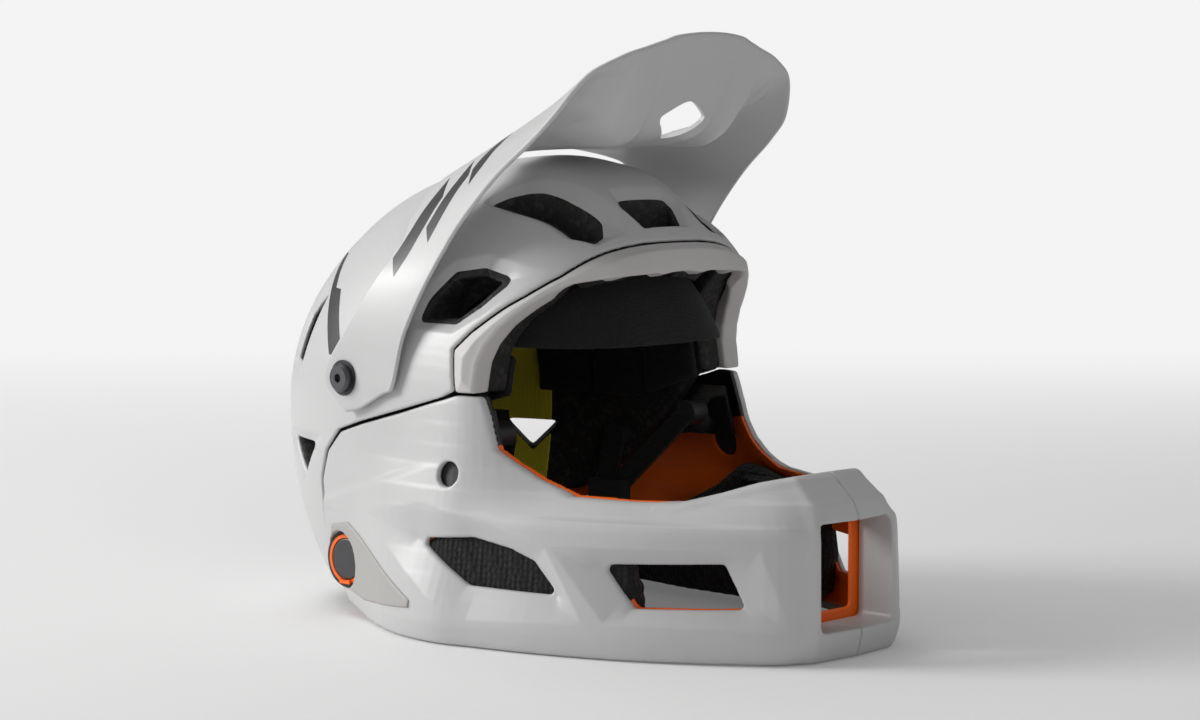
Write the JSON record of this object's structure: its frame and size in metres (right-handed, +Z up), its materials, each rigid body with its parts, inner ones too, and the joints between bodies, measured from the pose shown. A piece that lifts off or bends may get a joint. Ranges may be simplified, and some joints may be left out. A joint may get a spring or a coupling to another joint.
{
  "type": "full-face bicycle helmet",
  "caption": "Full-face downhill bicycle helmet with a removable chin bar on turning locks, a raised visor on side pivots, comfort pads, a fit cradle and a chin strap.",
  "frame": {"origin": "middle of the footprint on the floor, on the mirror plane", "axes": "+X to the wearer's left, the wearer looks along -Y, +Z up"},
  "size_m": [0.25, 0.3751, 0.3132],
  "materials": {
    "shell_grey": "satin light grey",
    "rim_grey": "satin warm grey",
    "foam_dark": "beaded foam",
    "slip_yellow": "smooth thin sheet",
    "pad_black": "knitted cover over soft foam",
    "liner_orange": "satin",
    "dark_plastic": "satin",
    "steel": "satin",
    "webbing_black": "woven"
  },
  "bodies": {
    "helmet": {"brow_pad": "pad_black", "brow_rim": "rim_grey", "buckle_left": "dark_plastic", "buckle_right": "dark_plastic", "crown_pad": "pad_black", "dock_plate_left": "dark_plastic", "dock_plate_right": "dark_plastic", "fit_rail": "dark_plastic", "foam_core": "foam_dark", "latch_catch_left": "steel", "latch_catch_right": "steel", "outer_shell": "shell_grey", "pivot_boss_left": "rim_grey", "pivot_boss_right": "rim_grey", "pivot_insert_left": "steel", "pivot_insert_right": "steel", "pivot_screw_left": "steel", "pivot_screw_right": "steel", "pivot_washer_left": "steel", "pivot_washer_right": "steel", "rear_pad": "pad_black", "side_pad_left": "pad_black", "side_pad_right": "pad_black", "slip_liner": "slip_yellow", "strap_anchors_left": "dark_plastic", "strap_anchors_right": "dark_plastic", "strap_divider_left": "dark_plastic", "strap_divider_right": "dark_plastic", "strap_webs_left": "webbing_black", "strap_webs_right": "webbing_black"},
    "visor_body": {"visor": "shell_grey"},
    "chin_bar": {"vent_frame": "liner_orange", "chin_liner_left": "liner_orange", "chin_liner_right": "liner_orange", "chin_shell_left": "shell_grey", "chin_shell_right": "shell_grey", "cheek_pad_left": "pad_black", "cheek_pad_right": "pad_black", "wing_plate_left": "rim_grey", "wing_plate_right": "rim_grey", "dial_housing_left": "dark_plastic", "dial_housing_right": "dark_plastic"},
    "release_dial_left": {"dial_knob_left": "dark_plastic", "dial_ring_left": "liner_orange"},
    "release_dial_right": {"dial_knob_right": "dark_plastic", "dial_ring_right": "liner_orange"},
    "latch_left": {"latch_tongue_left": "steel"},
    "latch_right": {"latch_tongue_right": "steel"},
    "cradle": {"fit_cradle": "dark_plastic"},
    "fit_knob": {"fit_dial": "dark_plastic"}
  },
  "joints": [
    {"name": "visor_pivot", "type": "hinge", "parent": "helmet", "child": "visor_body", "pos_m": [0, 0.07537, 0.13147], "axis": [-1, 0, 0], "range_deg": [0, 18]},
    {"name": "chin_bar_slide", "type": "slide", "parent": "helmet", "child": "chin_bar", "axis": [0, -1, 0], "range_m": [0, 0.26]},
    {"name": "release_dial_left_turn", "type": "hinge", "parent": "chin_bar", "child": "release_dial_left", "pos_m": [0.09, 0.09225, 0.03038], "axis": [1, 0, 0], "range_deg": [0, 60]},
    {"name": "release_dial_right_turn", "type": "hinge", "parent": "chin_bar", "child": "release_dial_right", "pos_m": [-0.09, 0.09225, 0.03038], "axis": [1, 0, 0], "range_deg": [0, 60]},
    {"name": "latch_left_slide", "type": "slide", "parent": "chin_bar", "child": "latch_left", "axis": [0, -1, 0], "range_m": [0, 0.0095]},
    {"name": "latch_right_slide", "type": "slide", "parent": "chin_bar", "child": "latch_right", "axis": [0, -1, 0], "range_m": [0, 0.0095]},
    {"name": "cradle_slide", "type": "slide", "parent": "helmet", "child": "cradle", "axis": [0, 0, 1], "range_m": [-0.008, 0.008]},
    {"name": "fit_dial_turn", "type": "hinge", "parent": "cradle", "child": "fit_knob", "pos_m": [0, 0.14025, 0.06524], "axis": [0, 1, 0], "continuous": true}
  ],
  "couplings": [
    {"joint": "latch_left_slide", "follows": "release_dial_left_turn", "m_per_rad": 0.009},
    {"joint": "latch_right_slide", "follows": "release_dial_right_turn", "m_per_rad": 0.009}
  ]
}
